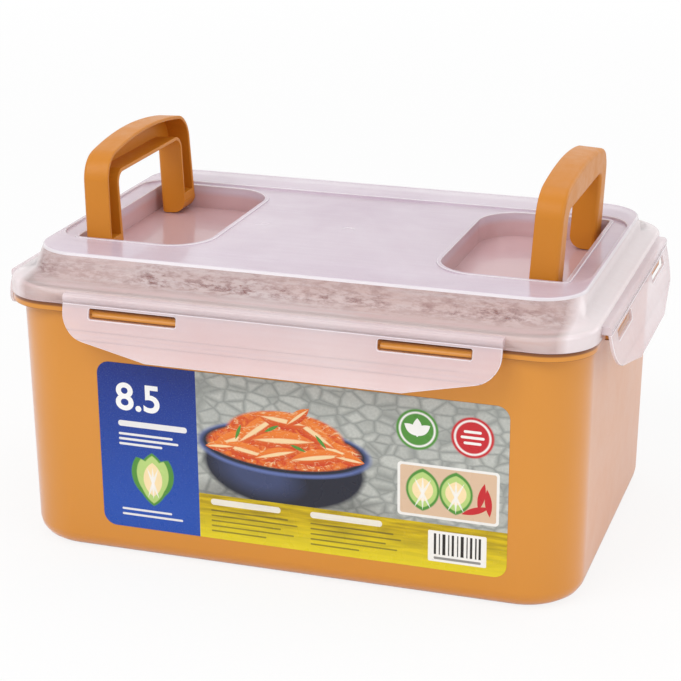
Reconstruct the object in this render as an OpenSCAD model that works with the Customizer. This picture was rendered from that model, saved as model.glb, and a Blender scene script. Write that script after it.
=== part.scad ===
// Kimchi container: a tapered tub, a latched lid with a seal, and two fold-down carry handles.
// The labelled long side faces -Y, the length runs along X, and the base stands on Z = 0.

/* [Tub] */
// Outside length of the neck, and of the body where it meets the shoulder
tub_length = 301.4; // [260:0.2:360]
// Outside width of the neck, and of the body where it meets the shoulder
tub_width = 218.4; // [190:0.2:280]
// Height of the rim above the base
tub_height = 143.8; // [90:0.2:220]
// Radius of the upright corners
tub_corner_r = 31; // [20:0.5:40]
// Thickness of the side walls
tub_wall = 2.4; // [1.6:0.1:3.6]
// Thickness of the floor
tub_floor = 2.6; // [1.6:0.1:4]
// Radius of the edge between the walls and the base
tub_base_r = 9.6; // [6:0.2:18]
// How far each short side leans in on its way down to the base
tub_end_draft = 0.9; // [0.5:0.1:6]
// How far each long side leans in on its way down to the base
tub_side_draft = 4.6; // [1:0.1:8]
// Height of the neck above the shoulder band
neck_height = 4.8; // [4:0.1:8]
// Height of the shoulder band round the tub
shoulder_height = 4; // [3:0.1:6]
// How far the shoulder band stays inside the outline of the lid
shoulder_inset = 0.7; // [0.3:0.1:1.5]
// Height of the catch ribs behind the slots of the flaps
rib_height = 3.4; // [2:0.1:4.5]
// Distance from the top of the shoulder band down to the top of the catch ribs
rib_drop = 1.4; // [0.8:0.1:3]

/* [Lid] */
// Gap between the neck of the tub and the skirt of the lid
skirt_gap = 1.4; // [1:0.1:3]
// Thickness of the skirt
skirt_wall = 2.2; // [1.6:0.1:3]
// Radius of the upright corners of the skirt
lid_corner_r = 26.5; // [20:0.5:36]
// Radius of the top edge of the skirt
lid_edge_r = 2.5; // [1:0.1:3.5]
// Gap between the shoulder band and the lower edge of the skirt
skirt_lift = 0.5; // [0.3:0.1:1.5]
// Thickness of the flange over the rim, at its outer edge
flange_thickness = 2.1; // [1.6:0.1:3]
// How far the flange rises from its outer edge to the foot of the plateau
flange_rise = 1.8; // [1:0.1:3]
// Width of the flange at the short ends
flange_end_width = 9; // [7.5:0.1:12]
// Width of the flange along the long sides
flange_side_width = 11.8; // [9:0.1:16]
// Height of the plateau above its foot
plateau_height = 10.6; // [8:0.1:16]
// How far the end walls of the plateau lean in
plateau_end_draft = 0.6; // [0.3:0.1:4]
// How far the long slopes of the plateau lean in
plateau_side_draft = 8.1; // [4:0.1:12]
// Radius of the corners of the plateau
plateau_corner_r = 24; // [20:0.5:34]
// Radius of the top edge of the plateau
plateau_edge_r = 1.5; // [0.8:0.1:2]
// Thickness of the plateau and of the pockets in it
lid_wall = 2.2; // [1.6:0.1:3]
// Depth of the sunken panel on top
panel_depth = 1.5; // [0.8:0.1:2.2]
// Width of the raised border at the short ends
panel_end_border = 2.4; // [2:0.1:6]
// Width of the raised border along the long sides
panel_side_border = 26.8; // [18:0.2:30]
// Radius of the corners of the panel
panel_corner_r = 19; // [8:0.5:26]
// Width of the bead round each handle pocket
pocket_bead = 2.4; // [1.5:0.1:3]
// Height of the bead above the panel
pocket_bead_height = 0.8; // [0.4:0.1:1.2]
// Depth of the handle pockets below the top of the plateau
pocket_depth = 14.1; // [13.5:0.1:15]
// Radius of the corners of a pocket towards the middle of the lid
pocket_inner_r = 22; // [16:0.5:26]
// Radius of the corners of a pocket towards the end of the lid
pocket_outer_r = 2.5; // [1:0.5:3]
// Radius of the gate mark in the middle of the panel
gate_mark_r = 3.2; // [2:0.1:5]
// Depth of the gate mark
gate_mark_depth = 0.4; // [0.2:0.1:0.8]

/* [Seal] */
// Height of the silicone seal
seal_height = 2; // [1.6:0.1:4]
// How far the seal reaches past the outside of the neck
seal_reach = 1.2; // [0.8:0.1:1.3]
// Thickness of the plug rib that stands inside the rim
plug_wall = 1.8; // [1.2:0.1:2.4]
// How far the plug rib reaches down inside the rim
plug_depth = 7; // [4:0.5:12]
// Gap between the plug rib and the wall of the tub
plug_gap = 0.6; // [0.3:0.1:1]

/* [Flaps] */
// Length of the two long flaps
front_flap_length = 227.4; // [180:0.2:236]
// Length of the two short flaps
side_flap_length = 166.8; // [140:0.2:168]
// Thickness of a flap
flap_thickness = 1.7; // [1.2:0.1:2]
// How far the outer face of a flap stands proud of the skirt
flap_stand_off = 4.9; // [3.5:0.1:6]
// Height from the hinge line to the lower edge
flap_height = 25.4; // [22:0.1:30]
// Outward lean of the closed flaps, in degrees
flap_lean = 12; // [0:0.5:16]
// Height of the straight upper part, above the curved grip
flap_straight = 8; // [7.6:0.1:11]
// Radius of the curve that lifts the lower edge away from the tub
flap_curve_r = 70; // [24:0.5:120]
// Radius of the rounded ends
flap_end_r = 14.5; // [8:0.5:16]
// Length of the sloping part of the lower edge at each end
flap_slope_run = 47.2; // [30:0.2:50]
// How much the lower edge rises along that slope
flap_slope_rise = 9.1; // [6:0.1:12]
// Distance from the outer edge of the flange down to the carrier beads
bead_drop = 1.8; // [1.4:0.1:2.4]
// Height of the carrier beads above the hinge line
hinge_bead_height = 4.2; // [3:0.1:4.8]
// Gap between a flap and its carrier bead
hinge_gap = 0.2; // [0.1:0.05:0.4]
// Height of a slot
slot_height = 5.5; // [4.6:0.1:6]
// Distance from the hinge line down to the slots
slot_drop = 1.8; // [1.2:0.1:2]
// Distance from the end of a flap to its slot
slot_end_gap = 14.4; // [12:0.2:20]
// Length of a slot in the long flaps
front_slot_length = 47.1; // [30:0.2:60]
// Length of a slot in the short flaps
side_slot_length = 37.6; // [24:0.2:44]
// Radius of the corners of a slot
slot_corner_r = 1.2; // [0.6:0.1:2]

/* [Handles] */
// Distance from the end of the lid to the handle's pivot
pivot_inset = 34.8; // [32:0.2:40]
// Width of a handle across its legs at the pivot
handle_width = 119; // [100:0.2:124]
// Distance from the pivot to the top of the arch
handle_reach = 53.3; // [48:0.1:58]
// Thickness of a handle from its open side to its closed side
handle_depth = 14.4; // [13:0.1:14.6]
// Width of a leg at the pivot
leg_width = 16.4; // [12:0.1:20]
// How much the outside of each leg leans in on its way up
leg_taper = 2; // [0:0.1:4]
// Height of the grip bar
grip_height = 17; // [12:0.1:20]
// Thickness of the channel walls
handle_wall = 2; // [1.4:0.1:3]
// Radius of the outer corners
handle_corner_r = 16; // [12:0.5:24]
// Radius of the inner corners
window_corner_r = 6; // [4:0.5:12]
// How much the grip bar is crowned between its corners
handle_crown = 3.5; // [1:0.1:4]
// Height of the solid foot above the pivot
foot_solid = 4; // [3.5:0.1:6]
// Radius of the pivot pins
pin_r = 2.6; // [2:0.1:3]
// Length of the pivot pins
pin_length = 3.4; // [2.6:0.1:4]
// Outward lean of the upright handles against their heels, in degrees
handle_lean = 2.8; // [0.5:0.1:5]

/* [Label] */
// Width of the label
label_width = 217; // [120:0.5:225]
// Height of the label
label_height = 92.2; // [60:0.2:95]
// Height of the lower edge of the label above the base
label_z = 17.2; // [14:0.2:24]
// Sideways offset of the label from the middle of the tub
label_offset = 7.9; // [-8:0.1:10]
// Radius of the corners of the label
label_corner_r = 7; // [2:0.5:12]
// Thickness of the label
label_thickness = 0.2; // [0.1:0.05:0.4]

/* [Fits] */
// Radial clearance between a pivot pin and its bore
pin_clearance = 0.06; // [0.03:0.01:0.1]
// Clearance between the end of a pivot pin and the end of its bore
pin_end_clearance = 0.4; // [0.2:0.1:0.8]
// Gap between a handle's legs and the ends of its pocket
leg_clearance = 0.8; // [0.5:0.1:1.4]
// Gap between the folded grip bar and the wall of its pocket
grip_clearance = 3.4; // [1.5:0.1:4]
// Space behind the pivot for the heel of the handle to turn
heel_space = 11.5; // [11.2:0.1:13]
// Gap between the heel of an upright handle and the floor of its pocket
heel_clearance = 0.3; // [0.2:0.05:0.5]
// Gap between a catch rib and the inner face of its flap
rib_clearance = 0.7; // [0.2:0.05:1]
// Gap between a catch rib and the ends of its slot
rib_end_clearance = 0.9; // [0.5:0.1:2]
// Gap between the rim and the seal
seal_clearance = 0.1; // [0.05:0.05:0.3]

/* [Hidden] */
$fn = 96;
// Steps along each arc of a computed outline
corner_steps = 14;
// Steps across a rounded edge of a moulded shell
edge_steps = 4;
// Overlap that makes joined shapes one solid, and cuts break through
bite = 0.5;

both = [-1, 1];
neck_z = tub_height - neck_height;
shoulder_z = neck_z - shoulder_height;
body_half = [tub_length, tub_width] / 2;
body_draft = [tub_end_draft, tub_side_draft];

lid_half = body_half + [1, 1] * (skirt_gap + skirt_wall);
skirt_z = neck_z + skirt_lift;
roof_z = tub_height + seal_clearance + seal_height;
flange_z = roof_z + flange_thickness;
foot_z = flange_z + flange_rise;
top_z = foot_z + plateau_height;
panel_z = top_z - panel_depth;
foot_half = lid_half - [flange_end_width, flange_side_width];
top_half = foot_half - [plateau_end_draft, plateau_side_draft];
panel_half = top_half - [panel_end_border, panel_side_border];
shoulder_half = lid_half - [1, 1] * shoulder_inset;
plug_half = body_half - [1, 1] * (tub_wall + plug_gap);
plug_corner_r = tub_corner_r - tub_wall - plug_gap;

pocket_z = top_z - pocket_depth;
pivot_x = lid_half.x - pivot_inset;
pivot_z = pocket_z + heel_clearance + handle_depth / 2 * (cos(handle_lean) + sin(handle_lean));
pocket_half = handle_width / 2 + leg_clearance;
pocket_inner_x = pivot_x - handle_reach - grip_clearance;
pocket_outer_x = pivot_x + heel_space;
bore_r = pin_r + pin_clearance;
bore_end = handle_width / 2 + pin_length + pin_end_clearance;
boss_r = bore_r + lid_wall;

hinge_z = flange_z - bead_drop - hinge_bead_height;
flap_out = lid_half + [1, 1] * flap_stand_off;

function body_half_at(z) = body_half - body_draft * (1 - min(z, shoulder_z) / shoulder_z);

// How far the inner face of a closed flap stands from the skirt at one height
function flap_inner_at(z) =
    flap_stand_off - flap_thickness / cos(flap_lean) + (hinge_z - z) * tan(flap_lean);

// Points of a rounded rectangle at one height, counter-clockwise seen from above
function ring(half, r, z) = [
    for (corner = [0 : 3], i = [0 : corner_steps])
        let (
            turn = 90 * (corner + i / corner_steps),
            side = [corner == 0 || corner == 3 ? 1 : -1, corner < 2 ? 1 : -1]
        )
        [side.x * (half.x - r) + r * cos(turn), side.y * (half.y - r) + r * sin(turn), z]
];

// A closed shell through a stack of rings, from the lowest to the highest
module loft(rings) {
    count = len(rings[0]);
    last = len(rings) - 1;
    points = [for (level = rings, point = level) point];
    sides = [
        for (level = [0 : last - 1], i = [0 : count - 1])
            let (
                low = level * count + i,
                next_low = level * count + (i + 1) % count
            )
            each [[low, low + count, next_low + count], [low, next_low + count, next_low]]
    ];
    base = [for (i = [0 : count - 1]) i];
    top = [for (i = [count - 1 : -1 : 0]) last * count + i];
    polyhedron(points = points, faces = concat([base, top], sides));
}

module rounded_rect(half, r) {
    square([2 * half.x, 2 * (half.y - r)], center = true);
    square([2 * (half.x - r), 2 * half.y], center = true);
    for (x = both, y = both) {
        translate([x * (half.x - r), y * (half.y - r)]) circle(r = r);
    }
}

module rounded_block(half, r, z0, z1) {
    translate([0, 0, z0]) linear_extrude(z1 - z0) rounded_rect(half, r);
}

// A tub-shaped solid that stays the given distance inside the outer skin
module tub_form(inset, z0, z1) {
    edge_r = tub_base_r - inset;
    edge = [
        for (i = [0 : edge_steps])
            let (
                turn = 90 * i / edge_steps,
                rise = edge_r * (1 - cos(turn)),
                shrink = inset + edge_r * (1 - sin(turn))
            )
            ring(body_half_at(z0 + rise) - [1, 1] * shrink, tub_corner_r - shrink, z0 + rise)
    ];
    neck = [for (z = [shoulder_z, z1]) ring(body_half - [1, 1] * inset, tub_corner_r - inset, z)];
    loft(concat(edge, neck));
}

// Places a rib or flap shape at the middle of one side: local x along the side, y outwards, z up
module at_side(turn, out) {
    rotate([0, 0, turn]) translate([0, -out, 0]) mirror([0, 1, 0]) children();
}

module catch_ribs(turn, side_half, flap_length, slot_length) {
    rib_top = neck_z - rib_drop;
    reach = shoulder_inset + flap_inner_at(rib_top) - rib_clearance;
    rib_length = slot_length - 2 * rib_end_clearance;
    middle = flap_length / 2 - slot_end_gap - slot_length / 2;
    at_side(turn, side_half - shoulder_inset) {
        for (x = both) {
            translate([x * middle - rib_length / 2, -bite, rib_top - rib_height])
                cube([rib_length, reach + bite, rib_height]);
        }
    }
}

module tub() {
    color("#DE9646") difference() {
        union() {
            tub_form(0, 0, tub_height);
            rounded_block(shoulder_half, lid_corner_r - shoulder_inset, shoulder_z, neck_z);
            for (turn = [0, 180]) {
                catch_ribs(turn, lid_half.y, front_flap_length, front_slot_length);
            }
            for (turn = [90, 270]) {
                catch_ribs(turn, lid_half.x, side_flap_length, side_slot_length);
            }
        }
        tub_form(tub_wall, tub_floor, tub_height + bite);
    }
}

module label() {
    lean = atan(tub_side_draft / shoulder_z);
    face_y = body_half_at(label_z).y;
    color("#2E4FA0") translate([label_offset, -face_y, label_z]) rotate([90 + lean, 0, 0])
        linear_extrude(label_thickness) translate([0, label_height / 2])
            rounded_rect([label_width, label_height] / 2, label_corner_r);
}

// Skirt and flange in one convex form
module skirt_form() {
    edge = [
        for (i = [0 : edge_steps])
            let (
                turn = 90 * i / edge_steps,
                shrink = lid_edge_r * (1 - cos(turn))
            )
            ring(lid_half - [1, 1] * shrink, lid_corner_r - shrink, flange_z - lid_edge_r * (1 - sin(turn)))
    ];
    loft(concat(
        [ring(lid_half, lid_corner_r, skirt_z)], edge, [ring(foot_half, plateau_corner_r, foot_z)]
    ));
}

// The plateau that stands on the flange, the given distance inside its skin
module plateau_form(inset, z0, z1) {
    corner_r = plateau_corner_r - inset;
    foot = [for (z = [z0, foot_z]) ring(foot_half - [1, 1] * inset, corner_r, z)];
    edge = [
        for (i = [0 : edge_steps])
            let (
                turn = 90 * i / edge_steps,
                shrink = plateau_edge_r * (1 - cos(turn))
            )
            ring(top_half - [1, 1] * (inset + shrink), corner_r - shrink,
                 z1 - plateau_edge_r * (1 - sin(turn)))
    ];
    loft(concat(foot, edge));
}

// Plan of the right handle pocket, grown by the given width
module pocket_plan(grow) {
    x0 = pocket_inner_x - grow;
    x1 = pocket_outer_x + grow;
    half = pocket_half + grow;
    inner_r = pocket_inner_r + grow;
    outer_r = pocket_outer_r + grow;
    translate([x0 + inner_r, -half]) square([x1 - outer_r - x0 - inner_r, 2 * half]);
    translate([x0, -half + inner_r]) square([inner_r, 2 * (half - inner_r)]);
    translate([x1 - outer_r, -half + outer_r]) square([outer_r, 2 * (half - outer_r)]);
    for (y = both) {
        translate([x0 + inner_r, y * (half - inner_r)]) circle(r = inner_r);
        translate([x1 - outer_r, y * (half - outer_r)]) circle(r = outer_r);
    }
}

module pocket_block(grow, z0, z1) {
    translate([0, 0, z0]) linear_extrude(z1 - z0) pocket_plan(grow);
}

module pivot_line(r, from, to) {
    for (y = both) {
        translate([pivot_x, y * (from + to) / 2, pivot_z]) rotate([90, 0, 0])
            cylinder(r = r, h = to - from, center = true);
    }
}

module both_ends() {
    for (x = [0, 1]) {
        mirror([x, 0, 0]) children();
    }
}

module hinge_bead(turn, side_half, flap_length) {
    at_side(turn, side_half) translate([0, 0, hinge_z]) rotate([90, 0, 90])
        linear_extrude(flap_length, center = true) {
            square([flap_stand_off, hinge_bead_height / 2]);
            translate([-bite, 0]) square([flap_stand_off + bite - hinge_bead_height / 2, hinge_bead_height]);
            translate([flap_stand_off - hinge_bead_height / 2, hinge_bead_height / 2])
                circle(d = hinge_bead_height);
        }
}

module lid() {
    color("#E4DCE8", 0.75) difference() {
        union() {
            difference() {
                union() {
                    skirt_form();
                    plateau_form(0, flange_z - flange_thickness / 2, top_z);
                }
                rounded_block(lid_half - [1, 1] * skirt_wall, lid_corner_r - skirt_wall,
                              skirt_z - bite, roof_z);
                difference() {
                    plateau_form(lid_wall, roof_z - bite, top_z - lid_wall);
                    rounded_block(panel_half + [1, 1] * lid_wall / 2, panel_corner_r,
                                  panel_z - lid_wall, top_z);
                    both_ends() {
                        pocket_block(lid_wall, pocket_z - lid_wall, top_z);
                        pivot_line(boss_r, pocket_half, bore_end + lid_wall);
                    }
                }
                rounded_block(panel_half, panel_corner_r, panel_z, top_z + bite);
            }
            difference() {
                rounded_block(plug_half, plug_corner_r, tub_height - plug_depth, roof_z + bite);
                rounded_block(plug_half - [1, 1] * plug_wall, plug_corner_r - plug_wall,
                              tub_height - plug_depth - bite, roof_z + 2 * bite);
            }
            both_ends() pocket_block(pocket_bead, panel_z - bite, panel_z + pocket_bead_height);
            for (turn = [0, 180]) {
                hinge_bead(turn, lid_half.y, front_flap_length);
            }
            for (turn = [90, 270]) {
                hinge_bead(turn, lid_half.x, side_flap_length);
            }
        }
        both_ends() {
            pocket_block(0, pocket_z, top_z + bite);
            pivot_line(bore_r, pocket_half - bite, bore_end);
        }
        translate([0, 0, panel_z - gate_mark_depth]) cylinder(r = gate_mark_r, h = gate_mark_depth + bite);
    }
}

module lid_seal() {
    color("#F2F0EE") difference() {
        rounded_block(body_half + [1, 1] * seal_reach, tub_corner_r + seal_reach,
                      roof_z - seal_height, roof_z);
        rounded_block(plug_half + [1, 1] * seal_clearance, plug_corner_r + seal_clearance,
                      roof_z - seal_height - bite, roof_z + bite);
    }
}

// Face of a flap: straight hinge edge on top, round ends, and a lower edge that rises to both ends
module flap_face(length) {
    half = length / 2;
    slope = atan(flap_slope_rise / flap_slope_run);
    flat_half = half - flap_slope_run;
    // Centre of the end arc that touches the end and the sloping edge
    arc_x = half - flap_end_r;
    arc_z = -flap_height + tan(slope) * (arc_x - flat_half) + flap_end_r / cos(slope);
    right = [
        for (i = [0 : corner_steps])
            let (turn = (slope - 90) * (1 - i / corner_steps))
            [arc_x + flap_end_r * cos(turn), arc_z + flap_end_r * sin(turn)]
    ];
    left = [for (i = [corner_steps : -1 : 0]) [-right[i].x, right[i].y]];
    polygon(concat(
        [[-flat_half, -flap_height], [flat_half, -flap_height]], right,
        [[half, -hinge_gap], [-half, -hinge_gap]], left
    ));
}

// Cross-section of a flap: x outwards from its outer face, y up from the hinge line
module flap_section() {
    translate([-flap_thickness, -flap_straight]) square([flap_thickness, flap_straight]);
    difference() {
        translate([flap_curve_r, -flap_straight]) circle(r = flap_curve_r + flap_thickness);
        translate([flap_curve_r, -flap_straight]) circle(r = flap_curve_r);
        translate([-flap_thickness - bite, -flap_straight])
            square([2 * (flap_curve_r + flap_thickness + bite), flap_curve_r + flap_thickness + bite]);
        translate([flap_curve_r, -flap_straight - flap_curve_r - flap_thickness - bite])
            square(flap_curve_r + flap_thickness + bite);
    }
}

module flap(length, slot_length) {
    depth = 2 * flap_curve_r;
    middle = length / 2 - slot_end_gap - slot_length / 2;
    difference() {
        intersection() {
            rotate([90, 0, 90]) linear_extrude(length, center = true) rotate(flap_lean) flap_section();
            rotate([90, 0, 0]) linear_extrude(depth, center = true) flap_face(length);
        }
        for (x = both) {
            translate([x * middle, 0, -slot_drop - slot_height / 2]) rotate([90, 0, 0])
                linear_extrude(depth, center = true)
                    rounded_rect([slot_length, slot_height] / 2, slot_corner_r);
        }
    }
}

module long_flap(turn) {
    color("#E9E0EC", 0.8) at_side(turn, flap_out.y) translate([0, 0, hinge_z])
        flap(front_flap_length, front_slot_length);
}

module short_flap(turn) {
    color("#E9E0EC", 0.8) at_side(turn, flap_out.x) translate([0, 0, hinge_z])
        flap(side_flap_length, side_slot_length);
}

// Outline of the arch, the given width inside its edge: x across the legs, y up from the pivot
module arch_outline(inset) {
    foot_half_width = handle_width / 2 - inset;
    corner_x = handle_width / 2 - leg_taper - handle_corner_r;
    crown_r = (pow(corner_x, 2) + pow(handle_crown, 2)) / (2 * handle_crown);
    crown_y = handle_reach - crown_r;
    // Height of the corner arc that touches the crown, and the turn of the crown where they touch
    corner_y = crown_y + sqrt(pow(crown_r - handle_corner_r, 2) - pow(corner_x, 2));
    touch = asin(corner_x / (crown_r - handle_corner_r));
    right = [
        for (i = [0 : corner_steps])
            let (turn = (90 - touch) * i / corner_steps)
            [corner_x, corner_y] + (handle_corner_r - inset) * [cos(turn), sin(turn)]
    ];
    crown = [
        for (i = [1 : corner_steps - 1])
            let (turn = touch * (1 - 2 * i / corner_steps))
            [0, crown_y] + (crown_r - inset) * [sin(turn), cos(turn)]
    ];
    left = [for (i = [corner_steps : -1 : 0]) [-right[i].x, right[i].y]];
    polygon(concat(
        [[-foot_half_width, 0], [-foot_half_width, -handle_depth], [foot_half_width, -handle_depth],
         [foot_half_width, 0]],
        right, crown, left
    ));
}

// Outline of the finger gap, the given width outside its edge
module window_outline(grow) {
    half_width = handle_width / 2 - leg_width + grow;
    top = handle_reach - grip_height + grow;
    corner = window_corner_r + grow;
    translate([-half_width, -2 * handle_depth]) square([2 * half_width, 2 * handle_depth + top - corner]);
    translate([-half_width + corner, 0]) square([2 * (half_width - corner), top]);
    for (x = both) {
        translate([x * (half_width - corner), top - corner]) circle(r = corner);
    }
}

// Side view of a handle: round towards the open side at the foot, with a square heel behind
module foot_profile() {
    translate([-handle_depth / 2, 0]) square([handle_depth, handle_reach]);
    translate([0, -handle_depth / 2]) square([handle_depth / 2, handle_depth]);
    circle(d = handle_depth);
}

// The right handle in its own frame: pivot at the origin, closed side towards +X
module handle() {
    intersection() {
        difference() {
            rotate([90, 0, 90]) linear_extrude(handle_depth, center = true) difference() {
                arch_outline(0);
                window_outline(0);
            }
            translate([-handle_wall, 0, 0]) rotate([90, 0, 90]) linear_extrude(handle_depth, center = true)
                intersection() {
                    difference() {
                        arch_outline(handle_wall);
                        window_outline(handle_wall);
                    }
                    translate([-handle_width, foot_solid]) square([2 * handle_width, 2 * handle_reach]);
                }
        }
        rotate([90, 0, 0]) linear_extrude(2 * handle_width, center = true) foot_profile();
    }
    for (y = both) {
        translate([0, y * (handle_width + pin_length - bite) / 2, 0]) rotate([90, 0, 0])
            cylinder(r = pin_r, h = pin_length + bite, center = true);
    }
}

module placed_handle() {
    color("#DE8E2E") translate([pivot_x, 0, pivot_z]) rotate([0, handle_lean, 0]) handle();
}

tub();
label();
lid();
lid_seal();
long_flap(0);  // front_flap
long_flap(180);  // back_flap
short_flap(270);  // left_flap
short_flap(90);  // right_flap
mirror([1, 0, 0]) placed_handle();  // left_handle
placed_handle();  // right_handle
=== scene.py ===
import math

import bmesh
import bpy
from mathutils import Matrix, Vector


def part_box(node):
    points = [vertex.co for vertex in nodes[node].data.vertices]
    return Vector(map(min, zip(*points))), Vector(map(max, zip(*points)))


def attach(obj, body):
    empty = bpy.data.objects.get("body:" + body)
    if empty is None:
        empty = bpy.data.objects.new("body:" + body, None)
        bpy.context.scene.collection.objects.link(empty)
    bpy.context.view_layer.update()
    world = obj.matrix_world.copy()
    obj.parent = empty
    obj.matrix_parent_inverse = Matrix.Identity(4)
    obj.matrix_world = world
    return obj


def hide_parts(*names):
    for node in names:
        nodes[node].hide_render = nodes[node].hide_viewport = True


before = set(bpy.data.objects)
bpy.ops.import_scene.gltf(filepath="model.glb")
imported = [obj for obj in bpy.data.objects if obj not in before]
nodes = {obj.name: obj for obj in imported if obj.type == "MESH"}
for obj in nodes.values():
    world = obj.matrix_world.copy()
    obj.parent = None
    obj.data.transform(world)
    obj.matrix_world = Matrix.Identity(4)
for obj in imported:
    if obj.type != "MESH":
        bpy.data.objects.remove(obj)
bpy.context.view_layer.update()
mm = 0.001
print("model loaded,", len(nodes), "nodes")


# building nodes

def addNode(tree, kind, values=None, **settings):
    # a value that is another node's output is linked, any other is set
    node = tree.nodes.new(kind)
    for name, value in settings.items():
        setattr(node, name, value)
    for socket, value in (values or {}).items():
        if isinstance(value, bpy.types.NodeSocket):
            tree.links.new(value, node.inputs[socket])
        else:
            node.inputs[socket].default_value = value
    return node


def calc(tree, operation, first, second=0.0, clamp=False):
    values = {0: first, 1: second}
    return addNode(tree, "ShaderNodeMath", values, operation=operation, use_clamp=clamp).outputs[0]


def calcVector(tree, operation, first, second=(0, 0, 0)):
    node = addNode(tree, "ShaderNodeVectorMath", {0: first, 1: second}, operation=operation)
    return node.outputs["Value" if operation in ("LENGTH", "DOT_PRODUCT") else "Vector"]


def mixColor(tree, factor, below, above, blend="MIX"):
    values = {0: factor, 6: below, 7: above}
    return addNode(tree, "ShaderNodeMix", values, data_type="RGBA", blend_type=blend).outputs[2]


def spread(tree, value, low, high, fromLow=0.0, fromHigh=1.0):
    values = {"Value": value, "From Min": fromLow, "From Max": fromHigh, "To Min": low, "To Max": high}
    return addNode(tree, "ShaderNodeMapRange", values, clamp=True).outputs[0]


def noise(tree, vector, scale, detail=3.0, roughness=0.5, distortion=0.0):
    values = {"Vector": vector, "Scale": scale, "Detail": detail, "Roughness": roughness,
              "Distortion": distortion}
    return addNode(tree, "ShaderNodeTexNoise", values).outputs[0]


def newGroup(name, inputs, outputs):
    tree = bpy.data.node_groups.new(name, "ShaderNodeTree")
    for label, kind, value in inputs:
        socket = tree.interface.new_socket(label, in_out="INPUT", socket_type="NodeSocket" + kind)
        if value is not None:
            socket.default_value = value
    for label, kind in outputs:
        tree.interface.new_socket(label, in_out="OUTPUT", socket_type="NodeSocket" + kind)
    return tree, tree.nodes.new("NodeGroupInput").outputs, tree.nodes.new("NodeGroupOutput").inputs


def useGroup(tree, group, values):
    return addNode(tree, "ShaderNodeGroup", values, node_tree=group).outputs


def screenColor(red, green, blue):
    # 0 to 255 as seen on screen, turned into Blender's linear colour
    parts = [v / 255 for v in (red, green, blue)]
    return [v / 12.92 if v <= 0.04045 else ((v + 0.055) / 1.055) ** 2.4 for v in parts] + [1.0]


def newMaterial(name):
    material = bpy.data.materials.new(name)
    material.use_nodes = True
    tree = material.node_tree
    tree.nodes.clear()
    surface = tree.nodes.new("ShaderNodeBsdfPrincipled")
    output = tree.nodes.new("ShaderNodeOutputMaterial")
    tree.links.new(surface.outputs[0], output.inputs["Surface"])
    place = addNode(tree, "ShaderNodeTexCoord").outputs["Object"]
    return material, tree, surface.inputs, place


def bumpFrom(tree, height, strength, distance):
    values = {"Height": height, "Strength": strength, "Distance": distance}
    return addNode(tree, "ShaderNodeBump", values).outputs[0]


# shared effects

grainDepth = 0.0002


def makeMouldedGroup():
    # what an injection mould leaves: slow flow shade, fine spark grain, a few rubbed patches
    tree, given, result = newGroup(
        "mouldedSurface",
        [("Place", "Vector", None), ("Colour", "Color", (0.8, 0.8, 0.8, 1)), ("Shade Scale", "Float", 9.0),
         ("Shade Amount", "Float", 0.05), ("Grain Scale", "Float", 900.0), ("Gloss Low", "Float", 0.3),
         ("Gloss High", "Float", 0.45)],
        [("Colour", "Color"), ("Roughness", "Float"), ("Height", "Float")])
    flow = noise(tree, given["Place"], given["Shade Scale"], 2.0, 0.55, 0.6)
    grain = noise(tree, given["Place"], given["Grain Scale"], 2.0, 0.6)
    rubbed = noise(tree, given["Place"], calc(tree, "MULTIPLY", given["Shade Scale"], 7.0), 5.0, 0.65)
    swing = calc(tree, "MULTIPLY", calc(tree, "SUBTRACT", flow, 0.5), given["Shade Amount"])
    shade = calcVector(tree, "SCALE", given["Colour"])
    tree.links.new(calc(tree, "ADD", 1.0, swing), shade.node.inputs["Scale"])
    tree.links.new(shade, result["Colour"])
    patch = spread(tree, rubbed, 0.0, 1.0, 0.35, 0.7)
    span = calc(tree, "SUBTRACT", given["Gloss High"], given["Gloss Low"])
    gloss = calc(tree, "ADD", given["Gloss Low"], calc(tree, "MULTIPLY", span, patch))
    tree.links.new(gloss, result["Roughness"])
    height = calc(tree, "ADD", calc(tree, "MULTIPLY", grain, 0.6), calc(tree, "MULTIPLY", rubbed, 0.4))
    tree.links.new(height, result["Height"])
    return tree


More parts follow.
